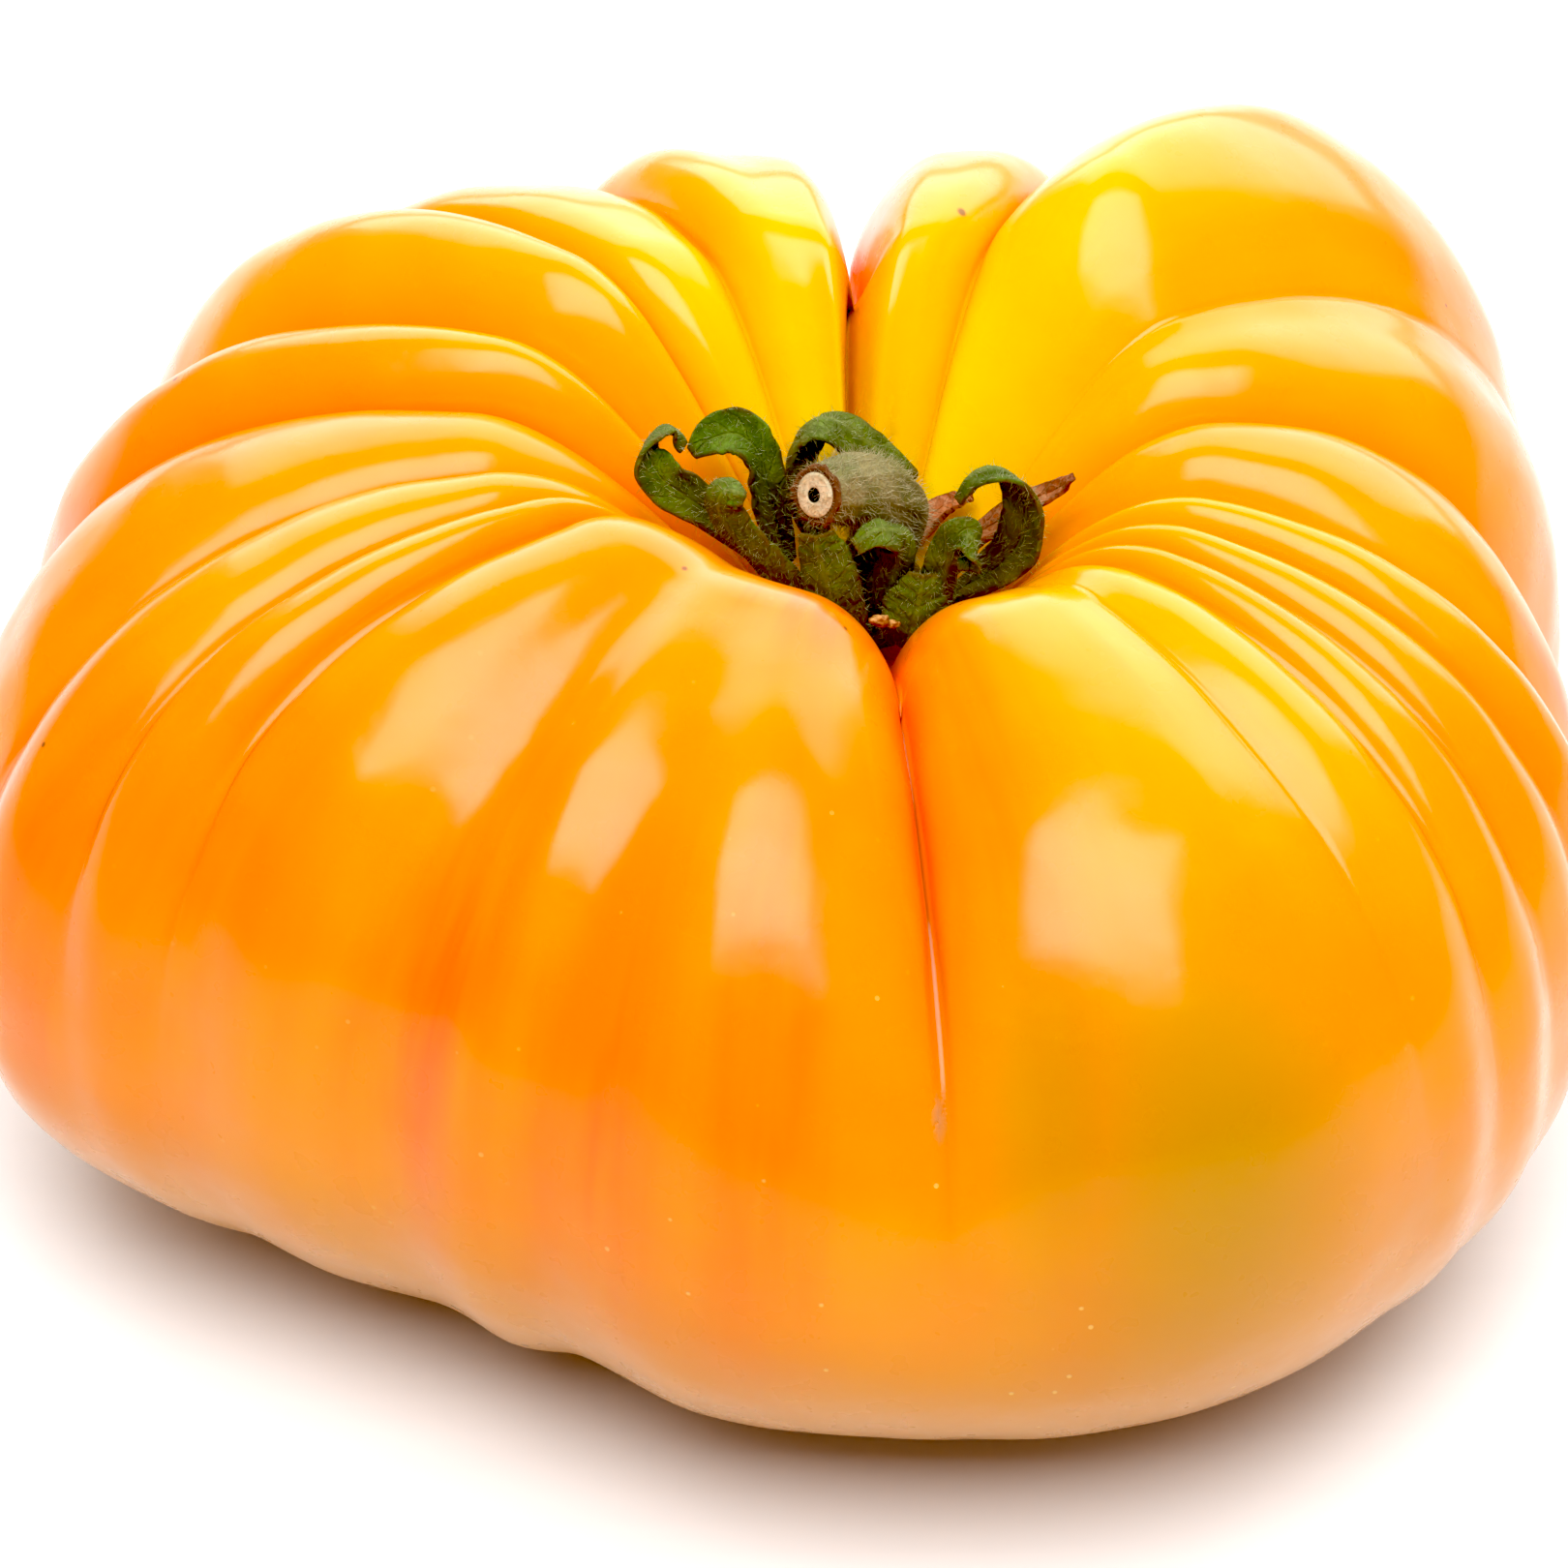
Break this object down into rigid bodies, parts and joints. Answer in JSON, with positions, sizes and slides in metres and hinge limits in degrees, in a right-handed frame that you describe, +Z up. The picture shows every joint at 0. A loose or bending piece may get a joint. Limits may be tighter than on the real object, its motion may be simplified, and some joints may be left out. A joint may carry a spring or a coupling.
{
  "type": "tomato",
  "caption": "Whole ribbed beefsteak tomato, orange-yellow, with its withered green calyx and a cut stub of stem in the stem pit, lying on its blossom end.",
  "frame": {"origin": "middle of the bounding box at its bottom, on the surface that the fruit rests on", "axes": "+Z up along the stem axis, +X along the fruit's greatest width with the tallest rib on the +X side, -Y the front with the deep crease"},
  "size_m": [0.1173, 0.1059, 0.067],
  "materials": {
    "fruit_skin": "smooth waxy skin, satin gloss",
    "calyx_green": "hairy grey-green leaf, matte",
    "stem_green": "hairy brown-green stem, pale cut end",
    "dry_tissue": "dry brown leaf, matte"
  },
  "bodies": {
    "root": {"fruit": "fruit_skin", "calyx_base": "calyx_green", "stem_stub": "stem_green", "sepal_right_loop": "calyx_green", "sepal_right_fold": "calyx_green", "sepal_front_right": "calyx_green", "sepal_front_curl": "calyx_green", "sepal_front": "calyx_green", "sepal_front_left": "calyx_green", "sepal_left_hook": "calyx_green", "sepal_left_leaf": "calyx_green", "sepal_back_arch": "calyx_green", "sepal_dry_right": "dry_tissue", "sepal_dry_back": "dry_tissue"}
  },
  "joints": []
}
